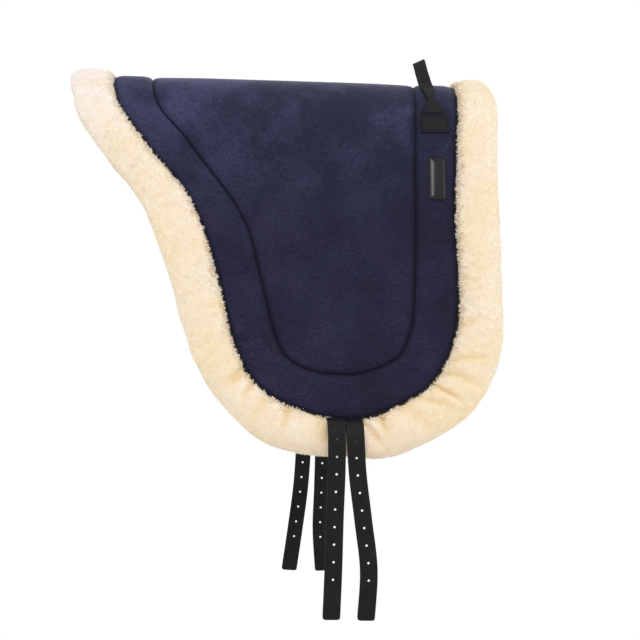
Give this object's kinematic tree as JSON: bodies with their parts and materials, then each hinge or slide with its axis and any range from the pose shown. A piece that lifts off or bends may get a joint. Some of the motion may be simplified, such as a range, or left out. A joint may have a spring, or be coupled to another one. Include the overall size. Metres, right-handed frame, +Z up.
{
  "type": "bareback riding pad",
  "caption": "Padded suede bareback pad with a rolled fleece edge, a webbing grab handle and punched girth billets that swing on their stitched roots.",
  "frame": {"origin": "underside of the fleece lining on the horse's spine, at mid length of the pad", "axes": "+X to the horse's front, +Y to the horse's left, +Z up"},
  "size_m": [0.6451, 0.4962, 0.8334],
  "materials": {
    "suede": "navy brushed suede cloth",
    "foam": "grey open-cell foam",
    "interlining": "white woven interlining",
    "fleece": "cream sheared fleece pile",
    "filling": "white polyester filling",
    "thread": "black overlock thread",
    "webbing": "black woven nylon webbing",
    "strap": "black coated strap, smooth",
    "badge_plate": "black satin backing",
    "badge_dome": "black domed gloss, bare"
  },
  "bodies": {
    "pad": {"seat_cover": "suede", "border_cover": "suede", "seat_foam": "foam", "border_foam": "foam", "interlining": "interlining", "fleece_lining": "fleece", "edge_roll_fleece": "fleece", "edge_roll_filling": "filling", "edge_overlock": "thread", "girth_web_front": "webbing", "girth_web_rear": "webbing", "handle_end_right": "webbing", "handle_end_left": "webbing", "badge_plate": "badge_plate", "badge_dome": "badge_dome"},
    "handle": {"grab_handle": "webbing"},
    "right_front_billet": {"billet_right_front": "strap"},
    "right_rear_billet": {"billet_right_rear": "strap"},
    "left_front_billet": {"billet_left_front": "strap"},
    "left_rear_billet": {"billet_left_rear": "strap"}
  },
  "joints": [
    {"name": "handle_tilt", "type": "hinge", "parent": "pad", "child": "handle", "pos_m": [0.23046, 0, 0.02862], "axis": [0.1426, 0.9898, 0], "range_deg": [-46, 94], "stiffness_Nm_per_rad": 0.15},
    {"name": "right_front_billet_swing", "type": "hinge", "parent": "pad", "child": "right_front_billet", "pos_m": [0.0875, -0.23442, -0.48875], "axis": [-1, 0, 0], "range_deg": [0, 135]},
    {"name": "right_rear_billet_swing", "type": "hinge", "parent": "pad", "child": "right_rear_billet", "pos_m": [0.0615, -0.23416, -0.48704], "axis": [-1, 0, 0], "range_deg": [0, 135]},
    {"name": "left_front_billet_swing", "type": "hinge", "parent": "pad", "child": "left_front_billet", "pos_m": [0.0875, 0.23442, -0.48875], "axis": [1, 0, 0], "range_deg": [0, 135]},
    {"name": "left_rear_billet_swing", "type": "hinge", "parent": "pad", "child": "left_rear_billet", "pos_m": [0.0615, 0.23416, -0.48704], "axis": [1, 0, 0], "range_deg": [0, 135]}
  ]
}
